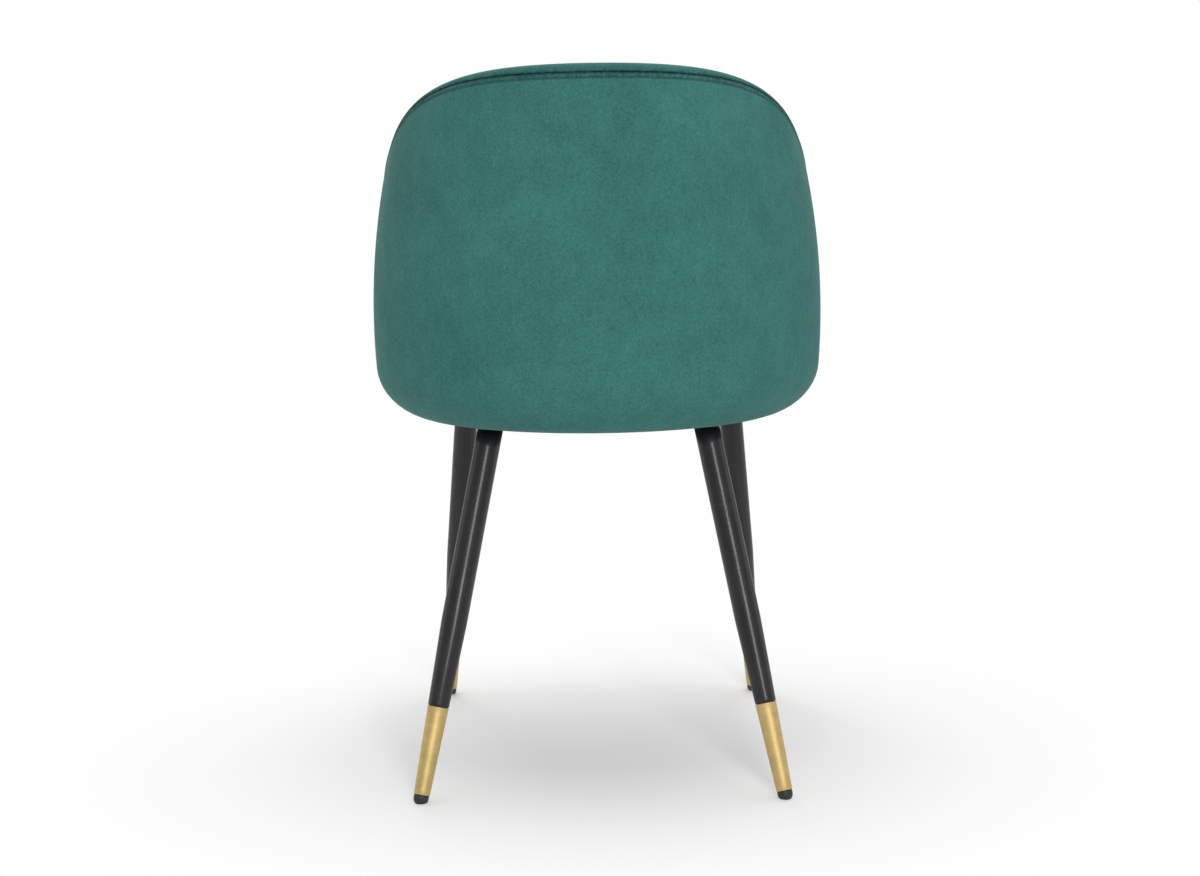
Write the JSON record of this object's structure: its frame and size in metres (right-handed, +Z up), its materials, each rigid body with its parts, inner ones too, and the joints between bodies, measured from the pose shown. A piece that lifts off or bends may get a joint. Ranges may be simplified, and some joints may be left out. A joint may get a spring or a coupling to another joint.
{
  "type": "dining chair",
  "caption": "Upholstered tub dining chair: padded back wrapping into low wings, padded seat, splayed tapered steel legs with brass ferrules.",
  "frame": {"origin": "on the floor, under the middle of the chair's outline", "axes": "+Z up; -Y the way the sitter faces; +X towards the sitter's left"},
  "size_m": [0.5379, 0.5779, 0.7999],
  "materials": {
    "outer_velvet": "short-pile velvet over thin wadding, deep teal green",
    "pad_velvet": "short-pile velvet, deep teal green",
    "upholstery_foam": "cut polyurethane foam, drawn as a plain solid",
    "moulded_tub": "moulded shell, plain",
    "plywood": "birch plywood, unfinished",
    "bottom_cloth": "thin black non-woven cloth",
    "black_steel": "satin black powder coat",
    "brushed_brass": "satin brushed brass",
    "black_rubber": "plain moulded rubber",
    "zinc_steel": "bright zinc plate"
  },
  "bodies": {
    "root": {"outer_cover": "outer_velvet", "inner_back_cover": "pad_velvet", "seat_cover": "pad_velvet", "back_foam": "upholstery_foam", "seat_foam": "upholstery_foam", "tub_shell": "moulded_tub", "seat_board": "plywood", "dust_cover": "bottom_cloth", "dust_cover_staples": "zinc_steel", "leg_bolts": "zinc_steel", "leg_washers": "zinc_steel", "tee_nuts": "zinc_steel", "board_screws": "zinc_steel", "leg_plate_front_left": "black_steel", "leg_front_left": "black_steel", "ferrule_front_left": "brushed_brass", "glide_front_left": "black_rubber", "leg_plate_front_right": "black_steel", "leg_front_right": "black_steel", "ferrule_front_right": "brushed_brass", "glide_front_right": "black_rubber", "leg_plate_rear_left": "black_steel", "leg_rear_left": "black_steel", "ferrule_rear_left": "brushed_brass", "glide_rear_left": "black_rubber", "leg_plate_rear_right": "black_steel", "leg_rear_right": "black_steel", "ferrule_rear_right": "brushed_brass", "glide_rear_right": "black_rubber"}
  },
  "joints": []
}
